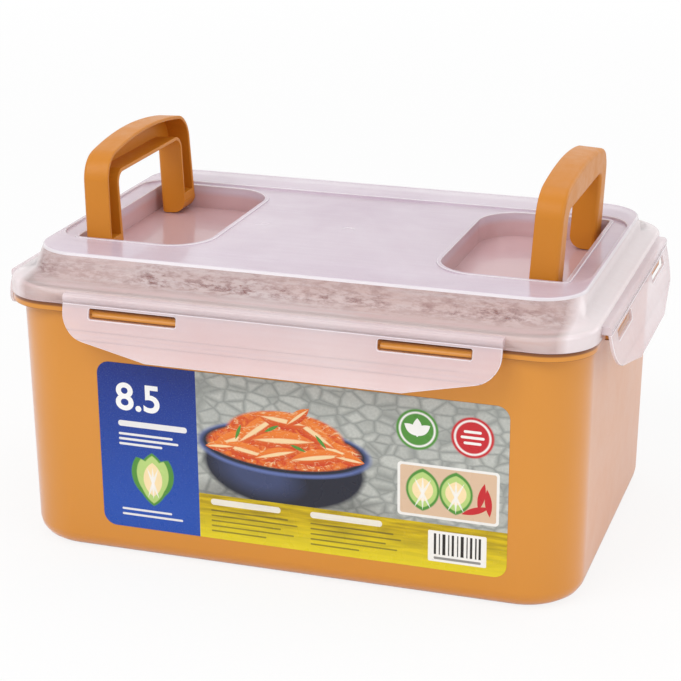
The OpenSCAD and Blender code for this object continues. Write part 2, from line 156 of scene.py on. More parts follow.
def makeFrostGroup():
    # frosted polypropylene: milky clouds, fine frost, flow lines along the length, coarse speckle where
    # asked; the speckle's colour is painted reflection and shade of the orange tub behind, its bumps are the
    # plastic's own
    tree, given, result = newGroup(
        "frostedSurface",
        [("Place", "Vector", None), ("Clear Colour", "Color", (0.8, 0.8, 0.8, 1)),
         ("Milk Colour", "Color", (0.9, 0.9, 0.9, 1)), ("Speckle Colour", "Color", (0.6, 0.5, 0.5, 1)),
         ("Cloud Scale", "Float", 14.0), ("Frost Scale", "Float", 700.0), ("Frost Amount", "Float", 0.15),
         ("Streak Amount", "Float", 0.2), ("Speckle Amount", "Float", 0.0)],
        [("Colour", "Color"), ("Roughness", "Float"), ("Height", "Float")])
    cloud = noise(tree, given["Place"], given["Cloud Scale"], 4.0, 0.55, 0.4)
    frost = noise(tree, given["Place"], given["Frost Scale"], 2.0, 0.7)
    drawn = calcVector(tree, "MULTIPLY", given["Place"], (0.05, 1.0, 1.0))
    lines = noise(tree, drawn, 420.0, 2.0, 0.5)
    streak = calc(tree, "MULTIPLY", spread(tree, lines, 0.0, 1.0, 0.45, 0.7), given["Streak Amount"])
    milk = calc(tree, "ADD", spread(tree, cloud, 0.0, 0.75, 0.3, 0.7),
                calc(tree, "MULTIPLY", frost, given["Frost Amount"]), clamp=True)
    milk = calc(tree, "ADD", milk, streak, clamp=True)
    grains = noise(tree, calcVector(tree, "MULTIPLY", given["Place"], (0.3, 0.5, 1.0)), 560.0, 3.0, 0.7)
    patches = spread(tree, noise(tree, given["Place"], 34.0, 2.0, 0.6), 0.3, 1.0, 0.36, 0.6)
    speckle = calc(tree, "MULTIPLY", spread(tree, grains, 0.0, 1.0, 0.42, 0.62), given["Speckle Amount"])
    speckle = calc(tree, "MULTIPLY", speckle, patches)
    body = mixColor(tree, milk, given["Clear Colour"], given["Milk Colour"])
    tree.links.new(mixColor(tree, speckle, body, given["Speckle Colour"]), result["Colour"])
    gloss = spread(tree, cloud, 0.16, 0.3, 0.3, 0.75)
    tree.links.new(calc(tree, "ADD", gloss, calc(tree, "MULTIPLY", speckle, 0.2)), result["Roughness"])
    height = calc(tree, "ADD", calc(tree, "MULTIPLY", frost, 0.5), calc(tree, "MULTIPLY", lines, 0.5))
    tree.links.new(calc(tree, "ADD", height, calc(tree, "MULTIPLY", speckle, 1.5)), result["Height"])
    return tree


def makePrintShapeGroup():
    # 1 inside a printed rounded box, 0 outside; all sizes in millimetres
    tree, given, result = newGroup(
        "printShape",
        [("Place", "Vector", None), ("Centre", "Vector", (0, 0, 0)), ("Half Size", "Vector", (1, 1, 1)),
         ("Corner", "Float", 1.0), ("Softness", "Float", 0.12)],
        [("Mask", "Float")])
    away = calcVector(tree, "ABSOLUTE", calcVector(tree, "SUBTRACT", given["Place"], given["Centre"]))
    corner = addNode(tree, "ShaderNodeCombineXYZ", {0: given["Corner"], 1: given["Corner"]}).outputs[0]
    inner = calcVector(tree, "SUBTRACT", given["Half Size"], corner)
    past = addNode(tree, "ShaderNodeSeparateXYZ", {0: calcVector(tree, "SUBTRACT", away, inner)}).outputs
    outX = calc(tree, "MAXIMUM", past[0], 0.0)
    outY = calc(tree, "MAXIMUM", past[1], 0.0)
    out = addNode(tree, "ShaderNodeCombineXYZ", {0: outX, 1: outY}).outputs[0]
    outside = calcVector(tree, "LENGTH", out)
    inside = calc(tree, "MINIMUM", calc(tree, "MAXIMUM", past[0], past[1]), 0.0)
    distance = calc(tree, "SUBTRACT", calc(tree, "ADD", outside, inside), given["Corner"])
    depth = calc(tree, "MULTIPLY", distance, -1.0)
    mask = calc(tree, "ADD", calc(tree, "DIVIDE", depth, given["Softness"]), 0.5, clamp=True)
    tree.links.new(mask, result["Mask"])
    return tree


def makePrintLeafGroup():
    # Mask is 1 inside a printed leaf or oval turned to any angle, Rib is 1 along its middle line, and
    # Across runs from -1 to 1 between its long edges
    tree, given, result = newGroup(
        "printLeaf",
        [("Place", "Vector", None), ("Centre", "Vector", (0, 0, 0)), ("Half Size", "Vector", (1, 1, 1)),
         ("Turn", "Float", 0.0), ("Pointed", "Float", 1.0), ("Softness", "Float", 0.05)],
        [("Mask", "Float"), ("Rib", "Float"), ("Across", "Float")])
    back = calc(tree, "MULTIPLY", given["Turn"], -1.0)
    spin = {"Vector": given["Place"], "Center": given["Centre"], "Angle": back}
    spun = addNode(tree, "ShaderNodeVectorRotate", spin, rotation_type="Z_AXIS").outputs[0]
    fromCentre = calcVector(tree, "SUBTRACT", spun, given["Centre"])
    near = calcVector(tree, "DIVIDE", fromCentre, given["Half Size"])
    parts = addNode(tree, "ShaderNodeSeparateXYZ", {0: near}).outputs
    along = calc(tree, "MULTIPLY", parts[0], parts[0])
    across = calc(tree, "ABSOLUTE", parts[1])
    leafReach = calc(tree, "ADD", along, across)
    ovalReach = calc(tree, "SQRT", calc(tree, "ADD", along, calc(tree, "MULTIPLY", across, across)))
    shapes = {0: given["Pointed"], 2: ovalReach, 3: leafReach}
    reach = addNode(tree, "ShaderNodeMix", shapes, data_type="FLOAT").outputs[0]
    depth = calc(tree, "DIVIDE", calc(tree, "SUBTRACT", 1.0, reach), given["Softness"])
    mask = calc(tree, "ADD", depth, 0.5, clamp=True)
    ribWidth = calc(tree, "MULTIPLY", calc(tree, "SUBTRACT", 1.0, along), 0.3)
    ribDepth = calc(tree, "SUBTRACT", ribWidth, across)
    rib = calc(tree, "MULTIPLY", spread(tree, ribDepth, 0.0, 1.0, 0.0, 0.12), mask)
    tree.links.new(mask, result["Mask"])
    tree.links.new(rib, result["Rib"])
    tree.links.new(parts[1], result["Across"])
    return tree


mouldedSurface = makeMouldedGroup()
frostedSurface = makeFrostGroup()
printShape = makePrintShapeGroup()
printLeaf = makePrintLeafGroup()
print("shared effects made")


# soft-edged copies of the CAD shapes

# weld is a distance in metres, and flat, roundFrom and creaseFrom are angles
softening = {
    "weld": 1e-6, "flat": 0.01, "roundFrom": math.radians(40), "creaseFrom": math.radians(38), "weight": 80,
}


def softCopy(name, pieceName, body, materials, widthOf, pick=None, segments=2, cuts=()):
    # welds the node's mesh, rounds its outer edges by widthOf(middle of the edge, edge) in millimetres and
    # stands in for the node; pick(middle, normal) gives a face's material, and rounded edges take the last
    shape = bmesh.new()
    shape.from_mesh(nodes[name].data)
    bmesh.ops.remove_doubles(shape, verts=shape.verts, dist=softening["weld"])
    bmesh.ops.dissolve_limit(shape, angle_limit=softening["flat"], verts=shape.verts, edges=shape.edges)
    for point, normal in cuts:
        parts = shape.verts[:] + shape.edges[:] + shape.faces[:]
        bmesh.ops.bisect_plane(shape, geom=parts, plane_co=Vector(point) * mm, plane_no=normal)
    groups = {}
    for edge in shape.edges:
        if len(edge.link_faces) != 2 or not edge.is_convex:
            continue
        if edge.calc_face_angle() > softening["roundFrom"]:
            middle = (edge.verts[0].co + edge.verts[1].co) / 2
            width = widthOf(middle / mm, edge)
            if width:
                groups.setdefault(width, []).append(edge)
    for face in shape.faces:
        face.material_index = pick(face.calc_center_median() / mm, face.normal) if pick else 0
    roundedSlot = len(materials) - 1 if len(materials) > 1 else -1
    for width in sorted(groups, reverse=True):
        edges = [edge for edge in groups[width] if edge.is_valid]
        bmesh.ops.bevel(shape, geom=edges, offset=width * mm, offset_type="OFFSET", segments=segments,
                        profile=0.5, affect="EDGES", clamp_overlap=False, loop_slide=True,
                        material=roundedSlot)
    mesh = bpy.data.meshes.new(pieceName)
    shape.to_mesh(mesh)
    shape.free()
    for material in materials:
        mesh.materials.append(material)
    for polygon in mesh.polygons:
        polygon.use_smooth = True
    mesh.set_sharp_from_angle(angle=softening["creaseFrom"])
    piece = bpy.data.objects.new(pieceName, mesh)
    bpy.context.scene.collection.objects.link(piece)
    weighted = piece.modifiers.new("flatterNormals", "WEIGHTED_NORMAL")
    weighted.keep_sharp = True
    weighted.weight = softening["weight"]
    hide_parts(name)
    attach(piece, body)


# tub

# heights and half sizes of the painted shadows on the seat and in the groove are in metres, those of the
# softened edges in millimetres
tubLook = {
    "colour": screenColor(217, 142, 46),
    "shadeScale": 9.0, "shadeAmount": 0.05, "grainScale": 1100.0,
    "glossLow": 0.3, "glossHigh": 0.42,
    "bump": 0.1, "coat": 0.15, "coatRoughness": 0.2, "ior": 1.46,
    "sheen": 1.0, "sheenRoughness": 0.35, "sheenTint": (1.0, 0.9, 0.95, 1),
    # seat and groove keys: the painted shadow under the lid's skirt and below the shoulder band
    "seatFoot": (0.1370, 0.1380), "seatTop": (0.1405, 0.143), "seatShade": 0.92,
    "seatHalf": (0.1538, 0.1123), "seatFade": 0.0003, "seatShadowColour": screenColor(112, 56, 10),
    "grooveFoot": (0.1336, 0.1347), "grooveTop": (0.13502, 0.1353), "grooveShade": 0.8,
    "softFrom": 130.0, "softWidth": 0.5, "bandMiddle": 137.6, "bandReach": 2.6,
}


def paintSeatShadows(tree, place, colour, look):
    # painted shadow: the dark line on the seat under the lid's skirt and at the foot of the shoulder band,
    # where the skirt and the band cast shade
    along, across, height = addNode(tree, "ShaderNodeSeparateXYZ", {0: place}).outputs
    pastEnd = calc(tree, "SUBTRACT", calc(tree, "ABSOLUTE", along), look["seatHalf"][0])
    pastSide = calc(tree, "SUBTRACT", calc(tree, "ABSOLUTE", across), look["seatHalf"][1])
    onBand = spread(tree, calc(tree, "MAXIMUM", pastEnd, pastSide), 1.0, 0.0, 0.0, look["seatFade"])
    seat = calc(tree, "MULTIPLY", spread(tree, height, 0.0, look["seatShade"], *look["seatFoot"]),
                spread(tree, height, 1.0, 0.0, *look["seatTop"]))
    seat = calc(tree, "MULTIPLY", seat, onBand)  # the catch ribs outside the band get no painted shadow
    groove = calc(tree, "MULTIPLY", spread(tree, height, 0.0, look["grooveShade"], *look["grooveFoot"]),
                  spread(tree, height, 1.0, 0.0, *look["grooveTop"]))
    return mixColor(tree, calc(tree, "MAXIMUM", seat, groove), colour, look["seatShadowColour"])


def makeMouldedMaterial(name, look):
    material, tree, surface, place = newMaterial(name)
    made = useGroup(tree, mouldedSurface, {
        "Place": place, "Colour": look["colour"], "Shade Scale": look["shadeScale"],
        "Shade Amount": look["shadeAmount"], "Grain Scale": look["grainScale"],
        "Gloss Low": look["glossLow"], "Gloss High": look["glossHigh"]})
    colour = made["Colour"]
    # painted shadow on the seat and in the groove
    if "seatShadowColour" in look:
        colour = paintSeatShadows(tree, place, colour, look)
    tree.links.new(colour, surface["Base Color"])
    tree.links.new(made["Roughness"], surface["Roughness"])
    tree.links.new(bumpFrom(tree, made["Height"], look["bump"], grainDepth), surface["Normal"])
    surface["IOR"].default_value = look["ior"]
    surface["Coat Weight"].default_value = look["coat"]
    surface["Coat Roughness"].default_value = look["coatRoughness"]
    surface["Sheen Weight"].default_value = look["sheen"]
    surface["Sheen Roughness"].default_value = look["sheenRoughness"]
    surface["Sheen Tint"].default_value = look["sheenTint"]
    return material


def dress(name, material, creaseFrom):
    # gives the node's own mesh one material, smooth but for its creases
    mesh = nodes[name].data
    for index in range(max(1, len(mesh.materials))):
        if index < len(mesh.materials):
            mesh.materials[index] = material
        else:
            mesh.materials.append(material)
    for polygon in mesh.polygons:
        polygon.use_smooth = True
    mesh.set_sharp_from_angle(angle=creaseFrom)


def tubEdge(middle, edge):
    # rounds the edges near the rim, apart from those of the shoulder band
    onBand = abs(middle.z - tubLook["bandMiddle"]) <= tubLook["bandReach"]
    return tubLook["softWidth"] if middle.z > tubLook["softFrom"] and not onBand else 0.0


softCopy("tub", "tubBody", "tub", [makeMouldedMaterial("ochreTubPlastic", tubLook)], tubEdge)
print("tub shaped")


# handles

# lengths are in millimetres; pinsFrom, closedFrom and openFrom count from the pivot
handleLook = {
    "colour": screenColor(203, 127, 32),
    "shadeScale": 16.0, "shadeAmount": 0.07, "grainScale": 1400.0,
    "glossLow": 0.34, "glossHigh": 0.48,
    "bump": 0.15, "coat": 0.0, "coatRoughness": 0.3, "ior": 1.4,
    "sheen": 0.0, "sheenRoughness": 0.35, "sheenTint": (1.0, 0.86, 0.8, 1),
    "closedEdge": 2.2, "openEdge": 0.6, "pinsFrom": 59.6, "closedFrom": 7.15, "openFrom": -7.15,
    "pivot": Vector((119.5, 0, 154.143)), "lean": math.radians(2.8),
}


def handleEdge(side, look):
    # wide rounding on the closed face, narrow on the open side, none on the pins
    turn = Matrix.Rotation(-side * look["lean"], 3, "Y")
    pivot = Vector((side * look["pivot"].x, 0, look["pivot"].z))

    def width(middle, edge):
        ends = [turn @ (vert.co / mm - pivot) for vert in edge.verts]
        if max(abs(end.y) for end in ends) > look["pinsFrom"]:
            return 0.0
        if min(end.x * side for end in ends) > look["closedFrom"]:
            return look["closedEdge"]
        return look["openEdge"] if max(end.x * side for end in ends) < look["openFrom"] else 0.0
    return width


handlePlastic = makeMouldedMaterial("ochreHandlePlastic", handleLook)
for name, side in (("left_handle", -1), ("right_handle", 1)):
    softCopy(name, name.replace("_h", "H"), name, [handlePlastic],
             handleEdge(side, handleLook), segments=3)
print("handles shaped")


# lid and flaps

# panelHalf to softWidth are in millimetres; deepHeight, speckleFoot, speckleThin and endSpan are in metres
lidLook = {
    "clear": screenColor(218, 196, 214), "milk": screenColor(242, 230, 241),
    "speckle": screenColor(150, 98, 96), "speckleAmount": 0.0,
    "cloudScale": 11.0, "frostScale": 900.0, "frostAmount": 0.25, "streak": 0.1,
    "alpha": 0.72, "bump": 0.06, "coat": 0.4, "coatRoughness": 0.06, "ior": 1.49,
    "panelHalf": (142.3, 66.1), "panelTop": 158.9, "borderTop": 160.4, "borderUnder": 158.2,
    "skirtHalf": (154.3, 112.8), "beadsUnder": 147.0, "zoneSlack": 0.2, "beadHighlightOut": 1.0,
    "beadHighlightRise": (0.1, 1.4), "softFrom": 158.5, "softWidth": 0.45, "facingUp": 0.97, "facingDown": -0.9,
}
# the pocket tint is a painted reflection of the orange handles
milkyLook = dict(lidLook, pocketReflectionColour=screenColor(232, 184, 180), pocketReflectionAmount=0.65,
                 deepHeight=(0.1535, 0.1565))
clearLook = dict(lidLook, clear=screenColor(238, 204, 198), milk=screenColor(250, 234, 234), alpha=0.46,
                 streak=0.35, speckleAmount=0.95, speckleFoot=(0.1485, 0.1505), speckleThin=(0.153, 0.1595),
                 # the end keys paint a reflection of white light onto the short ends
                 speckleOnTop=0.35, speckleAtEnds=0.3, endSpan=(0.1375, 0.143), endReflectionAmount=0.75,
                 endReflectionAlpha=0.32, endReflectionColour=screenColor(253, 243, 246))
# white edges: frosted white with a painted highlight, also on the flaps' rounded edges
edgeHighlightLook = dict(lidLook, clear=screenColor(238, 230, 236), milk=screenColor(248, 243, 247), alpha=0.78,
                streak=0.0, coat=0.1)
# hinge beads: whiter frosted plastic with a painted highlight
hingeBeadHighlightLook = dict(lidLook, clear=screenColor(240, 216, 222), milk=screenColor(250, 238, 242), alpha=0.6)
flapLook = dict(lidLook, clear=screenColor(238, 210, 214), milk=screenColor(248, 234, 238), alpha=0.56,
                streak=0.15, softWidth=0.4)


def makeFrostedMaterial(name, look):
    material, tree, surface, place = newMaterial(name)
    speckle = look["speckleAmount"]
    if speckle:  # coarse only on the long slopes, thinning out towards their tops and the ends; its colour is painted reflection and shade of the orange tub behind the slopes
        along, _, height = addNode(tree, "ShaderNodeSeparateXYZ", {0: place}).outputs
        ends = spread(tree, calc(tree, "ABSOLUTE", along), 0.0, 1.0, *look["endSpan"])
        fade = spread(tree, height, speckle, speckle * look["speckleOnTop"], *look["speckleThin"])
        speckle = calc(tree, "MULTIPLY", fade, spread(tree, height, 0.0, 1.0, *look["speckleFoot"]))
        speckle = calc(tree, "MULTIPLY", speckle, spread(tree, ends, 1.0, look["speckleAtEnds"]))
    made = useGroup(tree, frostedSurface, {
        "Place": place, "Clear Colour": look["clear"], "Milk Colour": look["milk"],
        "Speckle Colour": look["speckle"], "Speckle Amount": speckle, "Cloud Scale": look["cloudScale"],
        "Frost Scale": look["frostScale"], "Frost Amount": look["frostAmount"],
        "Streak Amount": look["streak"]})
    colour = made["Colour"]
    surface["Alpha"].default_value = look["alpha"]
    if "pocketReflectionColour" in look:  # the pockets are warmer than the panel above them: a painted reflection of the orange handles
        height = addNode(tree, "ShaderNodeSeparateXYZ", {0: place}).outputs[2]
        pocketReflection = spread(tree, height, look["pocketReflectionAmount"], 0.0, *look["deepHeight"])
        colour = mixColor(tree, pocketReflection, colour, look["pocketReflectionColour"])
    if look["speckleAmount"]:  # painted reflection: the short ends are whiter and more opaque, standing in for white light reflected off their walls
        colour = mixColor(tree, calc(tree, "MULTIPLY", ends, look["endReflectionAmount"]), colour, look["endReflectionColour"])
        reflectedEndAlpha = calc(tree, "ADD", calc(tree, "MULTIPLY", ends, look["endReflectionAlpha"]), look["alpha"])
        tree.links.new(reflectedEndAlpha, surface["Alpha"])
    tree.links.new(colour, surface["Base Color"])
    tree.links.new(made["Roughness"], surface["Roughness"])
    tree.links.new(bumpFrom(tree, made["Height"], look["bump"], grainDepth), surface["Normal"])
    surface["IOR"].default_value = look["ior"]
    surface["Coat Weight"].default_value = look["coat"]
    surface["Coat Roughness"].default_value = look["coatRoughness"]
    return material


def isPast(middle, half, margin):
    return abs(middle.x) > half[0] + margin or abs(middle.y) > half[1] + margin


def lidZone(middle, normal):
    # 0 milky panel and pockets, 1 clearer rim and slopes, 2 hinge beads, whiter with a painted highlight, 3
    # white bead round the panel, frosted white with a painted highlight
    panelHalf, slack = lidLook["panelHalf"], lidLook["zoneSlack"]
    if middle.z < lidLook["beadsUnder"] and isPast(middle, lidLook["skirtHalf"], slack):
        return 2
    low, high = [lidLook["panelTop"] + rise for rise in lidLook["beadHighlightRise"]]
    onBeadHighlight = isPast(middle, panelHalf, lidLook["beadHighlightOut"]) and low < middle.z < high
    if onBeadHighlight and normal.z < lidLook["facingUp"]:
        return 3
    onBorder = middle.z > lidLook["borderTop"] - slack
    underBorder = normal.z < lidLook["facingDown"] and abs(middle.z - lidLook["borderUnder"]) < slack
    inside = abs(middle.x) < panelHalf[0] and abs(middle.y) < panelHalf[1]
    return 0 if inside or onBorder or underBorder else 1


lidPlastics = [
    makeFrostedMaterial("milkyLidPlastic", milkyLook), makeFrostedMaterial("clearLidPlastic", clearLook),
    makeFrostedMaterial("hingeBeadHighlightPlastic", hingeBeadHighlightLook), makeFrostedMaterial("whiteLidEdgeHighlight", edgeHighlightLook),
]
softCopy("lid", "lidShell", "lid", lidPlastics,
         lambda middle, edge: lidLook["softWidth"] if middle.z > lidLook["softFrom"] else 0.0, lidZone)
# the flaps' rounded edges take the white edge, partly a painted highlight
flapPlastics = [makeFrostedMaterial("frostedFlapPlastic", flapLook), lidPlastics[3]]
for name in ("front_flap", "back_flap", "left_flap", "right_flap"):
    softCopy(name, name.replace("_f", "F"), name, flapPlastics,
             lambda middle, edge: flapLook["softWidth"])
print("lid and flaps shaped")


# seal

sealLook = {
    "colour": screenColor(238, 234, 230),
    "shadeScale": 20.0, "shadeAmount": 0.05, "grainScale": 900.0,
    "glossLow": 0.5, "glossHigh": 0.65,
    "bump": 0.1, "coat": 0.0, "coatRoughness": 0.3, "ior": 1.41,
    "sheen": 0.0, "sheenRoughness": 0.35, "sheenTint": (1, 1, 1, 1), "creaseFrom": math.radians(32),
}
dress("lid_seal", makeMouldedMaterial("whiteSealSilicone", sealLook), sealLook["creaseFrom"])
print("seal dressed")


# label

# places and sizes on the label are in millimetres: x along the tub, y its height above the floor
labelLook = {
    "blue": screenColor(30, 78, 176), "deepBlue": screenColor(14, 42, 130),
    "paleBlue": screenColor(150, 186, 232),
    "stoneLight": screenColor(196, 198, 192), "stoneDark": screenColor(134, 138, 134),
    "gold": screenColor(220, 190, 4), "deepGold": screenColor(160, 134, 8),
    "paleGold": screenColor(238, 220, 40),
    "bowl": screenColor(34, 36, 50), "bowlEdge": screenColor(96, 112, 168),
    "red": screenColor(206, 62, 22), "orange": screenColor(236, 128, 46),
    "cream": screenColor(250, 226, 176),
    "leafGreen": screenColor(82, 146, 58), "paleGreen": screenColor(186, 214, 126),
    "white": screenColor(246, 244, 240), "ink": screenColor(40, 36, 34),
    "stampRed": screenColor(200, 36, 44), "board": screenColor(222, 190, 160),
    "edgeSoftness": 0.15, "bump": 0.05, "bumpDepth": 0.0001, "ior": 1.4, "coat": 0.1, "coatRoughness": 0.08,
    "panelEdge": -46.5, "pictureEdge": 56.0, "bandTop": 42.2,
    "leaves": ((-27, 74, 13, 4.6, 24), (27, 75, 14, 4.8, -20), (-13, 82, 15, 5.2, 38),
               (15, 84, 15, 5.0, -32), (0, 77, 17, 5.4, 4), (-20, 69, 14, 4.2, -10),
               (18, 70, 15, 4.6, 12), (0, 88, 13, 4.8, -6),
               (-4, 69, 12, 3.8, 16), (8, 91, 8, 3.0, 40), (-34, 70, 8, 3.0, 4), (35, 71, 8, 3.0, -6)),
}


def paint(tree, below, mask, above, amount=1.0):
    return mixColor(tree, calc(tree, "MULTIPLY", mask, amount), below, above)


class PrintZone:
    # one printed part of the label: its node tree, and boxes, leaves and ovals painted over a colour;
    # a leaf or oval has a centre, two half sizes and a turn in degrees
    def __init__(self, name):
        self.material, self.tree, self.surface, place = newMaterial(name)
        scaled = calcVector(self.tree, "MULTIPLY", place, (1000.0, 1000.0, 1000.0))
        parts = addNode(self.tree, "ShaderNodeSeparateXYZ", {0: scaled}).outputs
        self.height = parts[2]
        self.flat = addNode(self.tree, "ShaderNodeCombineXYZ", {0: parts[0], 1: parts[2]}).outputs[0]

    def box(self, colour, x0, x1, y0, y1, tint, corner=0.0, amount=1.0):
        mask = useGroup(self.tree, printShape, {
            "Place": self.flat, "Centre": ((x0 + x1) / 2, (y0 + y1) / 2, 0),
            "Half Size": ((x1 - x0) / 2, (y1 - y0) / 2, 0), "Corner": corner,
            "Softness": labelLook["edgeSoftness"]})["Mask"]
        return paint(self.tree, colour, mask, tint, amount)

    def leafMasks(self, x, y, halfX, halfY, turn=0.0, pointed=1.0, softness=0.08):
        return useGroup(self.tree, printLeaf, {
            "Place": self.flat, "Centre": (x, y, 0), "Half Size": (halfX, halfY, 1),
            "Turn": math.radians(turn), "Pointed": pointed, "Softness": softness})

    def leaf(self, colour, x, y, halfX, halfY, turn, tint, pointed=1.0, amount=1.0, softness=0.08):
        mask = self.leafMasks(x, y, halfX, halfY, turn, pointed, softness)["Mask"]
        return paint(self.tree, colour, mask, tint, amount)

    def finish(self, colour, look):
        self.tree.links.new(colour, self.surface["Base Color"])
        gloss = noise(self.tree, self.flat, 0.05, 3.0, 0.5)
        self.tree.links.new(spread(self.tree, gloss, 0.2, 0.34, 0.3, 0.7), self.surface["Roughness"])
        waves = noise(self.tree, self.flat, 0.9, 2.0)
        relief = bumpFrom(self.tree, waves, look["bump"], look["bumpDepth"])
        self.tree.links.new(relief, self.surface["Normal"])
        self.surface["IOR"].default_value = look["ior"]
        self.surface["Coat Weight"].default_value = look["coat"]
        self.surface["Coat Roughness"].default_value = look["coatRoughness"]
        return self.material


def pebbles(zone, look):
    tree = zone.tree
    wide = calcVector(tree, "MULTIPLY", zone.flat, (0.75, 1.2, 1))
    stones = {"Vector": wide, "Scale": 0.13, "Randomness": 0.75}
    joints = addNode(tree, "ShaderNodeTexVoronoi", stones, feature="DISTANCE_TO_EDGE").outputs["Distance"]
    cells = addNode(tree, "ShaderNodeTexVoronoi", stones).outputs["Color"]
    tone = addNode(tree, "ShaderNodeSeparateColor", {0: cells}).outputs[0]
    grit = noise(tree, zone.flat, 0.7, 4.0, 0.65)
    face = calc(tree, "MULTIPLY", spread(tree, joints, 0.25, 1.0, 0.0, 0.16),
                calc(tree, "ADD", 0.7, calc(tree, "MULTIPLY", tone, 0.3)))
    face = calc(tree, "MULTIPLY", face, spread(tree, grit, 0.75, 1.15, 0.3, 0.7), clamp=True)
    return mixColor(tree, face, look["stoneDark"], look["stoneLight"])


def paintBowl(zone, look):
    # dark bowl heaped with dressed cabbage, on the pebbled field
    tree = zone.tree
    colour = pebbles(zone, look)
    colour = zone.leaf(colour, 0, 44, 50, 9, 0, look["ink"], pointed=0.0, amount=0.45, softness=0.5)
    colour = zone.leaf(colour, 0, 62, 43, 22, 0, look["bowl"], pointed=0.0)
    colour = zone.leaf(colour, -14, 57, 20, 10, -12, look["bowlEdge"], pointed=0.0, amount=0.35,
                       softness=0.8)
    colour = zone.leaf(colour, 0, 72, 46, 14.5, 0, look["bowlEdge"], pointed=0.0)
    colour = zone.leaf(colour, 0, 72.4, 44.2, 13, 0, look["bowl"], pointed=0.0)
    drawn = calcVector(tree, "MULTIPLY", zone.flat, (0.45, 1.0, 1.0))
    streaks = noise(tree, drawn, 0.42, 4.0, 0.62, 2.0)
    sauce = noise(tree, zone.flat, 0.25, 4.0, 0.6, 0.8)
    dressed = mixColor(tree, spread(tree, sauce, 0.0, 1.0, 0.35, 0.65), look["red"], look["orange"])
    dressed = mixColor(tree, spread(tree, streaks, 0.0, 0.9, 0.55, 0.68), dressed, look["cream"])
    for x, y, halfX, halfY in ((0, 73, 40.5, 11.5), (1, 80, 31, 13)):
        colour = zone.leaf(colour, x, y, halfX, halfY, 0, dressed, pointed=0.0)
    for x, y, halfX, halfY, turn in look["leaves"]:
        made = zone.leafMasks(x, y, halfX, halfY, turn)
        lit = spread(tree, made["Across"], 0.0, 1.0, -0.9, 0.6)
        shade = mixColor(tree, lit, look["red"], look["orange"])
        shade = mixColor(tree, spread(tree, streaks, 0.0, 0.8, 0.56, 0.7), shade, look["cream"])
        colour = mixColor(tree, made["Mask"], colour, shade)
        colour = paint(tree, colour, made["Rib"], look["cream"], 0.85)
    for x, y, turn in ((-6, 83, 30), (20, 79, -50), (-24, 79, 70), (8, 74, -20)):
        colour = zone.leaf(colour, x, y, 4.5, 0.9, turn, look["leafGreen"])
    return colour


def paintBand(zone, look):
    # gold foot with lines of plain bars and a white plaque of upright bars
    tree = zone.tree
    brushed = noise(tree, calcVector(tree, "MULTIPLY", zone.flat, (0.1, 1, 1)), 0.5, 2.0)
    colour = mixColor(tree, spread(tree, brushed, 0, 1, 0.3, 0.7), look["deepGold"], look["gold"])
    colour = mixColor(tree, spread(tree, zone.height, 0.85, 0.0, 17.0, 36.0), colour, look["paleGold"])
    for x0, x1 in ((-40, -2), (14, 52)):
        colour = zone.box(colour, x0, x1, 36.4, 39.8, look["white"], corner=1.6, amount=0.8)
    for row, ends in enumerate(((2, 58), (7, 62), (-2, 54), (5, 60), (-10, 40))):
        y = 32.8 - 2.9 * row
        for start, end in zip((-40, 14), ends):
            colour = zone.box(colour, start, end, y, y + 0.9, look["ink"], corner=0.4, amount=0.6)
    colour = zone.box(colour, 76, 106, 21.5, 38.5, look["white"], corner=0.8)
    for x, width in ((79, 1.2), (81.6, 0.6), (83.4, 1.6), (86.4, 0.6), (88.2, 1.2), (91, 0.6), (92.8, 1.6),
                     (95.8, 0.6), (97.6, 1.2), (100.2, 0.8), (102, 1.2)):
        colour = zone.box(colour, x, x + width, 25.5, 37, look["ink"])
    return zone.box(colour, 79, 103.2, 22.8, 24.2, look["ink"], corner=0.5, amount=0.7)


def paintInset(zone, look):
    # pebbles, an inset with two cabbage heads and peppers, and two round badges
    colour = pebbles(zone, look)
    colour = zone.box(colour, 60, 112, 45, 74, look["white"], corner=2.0, amount=0.92)
    colour = zone.box(colour, 61.4, 110.6, 46.4, 72.6, look["board"], corner=1.2)
    for x in (73, 90):
        for halfX, halfY, tint in ((11.5, 8.6, "leafGreen"), (9.6, 7.4, "paleGreen"), (6.4, 5.4, "cream")):
            colour = zone.leaf(colour, x, 60, halfX, halfY, 90, look[tint], pointed=0.35)
        for turn in (62, 90, 118):
            colour = zone.leaf(colour, x, 58, 9, 0.7, turn, look["white"], amount=0.8)
    for x, y, turn in ((103, 60, 78), (106.5, 57, 96), (100, 52, 20)):
        colour = zone.leaf(colour, x, y, 7.5, 1.8, turn, look["stampRed"])
    for centreX, centreY, tint in ((70, 92, "leafGreen"), (98, 91, "stampRed")):
        for radius, ring in ((10.8, tint), (9.4, "white"), (8.4, tint)):
            colour = zone.leaf(colour, centreX, centreY, radius, radius, 0, look[ring], pointed=0.0)
    for turn in (35, 90, 145):
        x = 70 + 3 * math.cos(math.radians(turn))
        y = 90 + 3 * math.sin(math.radians(turn))
        colour = zone.leaf(colour, x, y, 5, 2.4, turn, look["white"])
    for y, half in ((94, 4.5), (91, 6), (88, 4.5)):
        colour = zone.box(colour, 98 - half, 98 + half, y - 0.7, y + 0.7, look["white"], corner=0.7)
    return colour


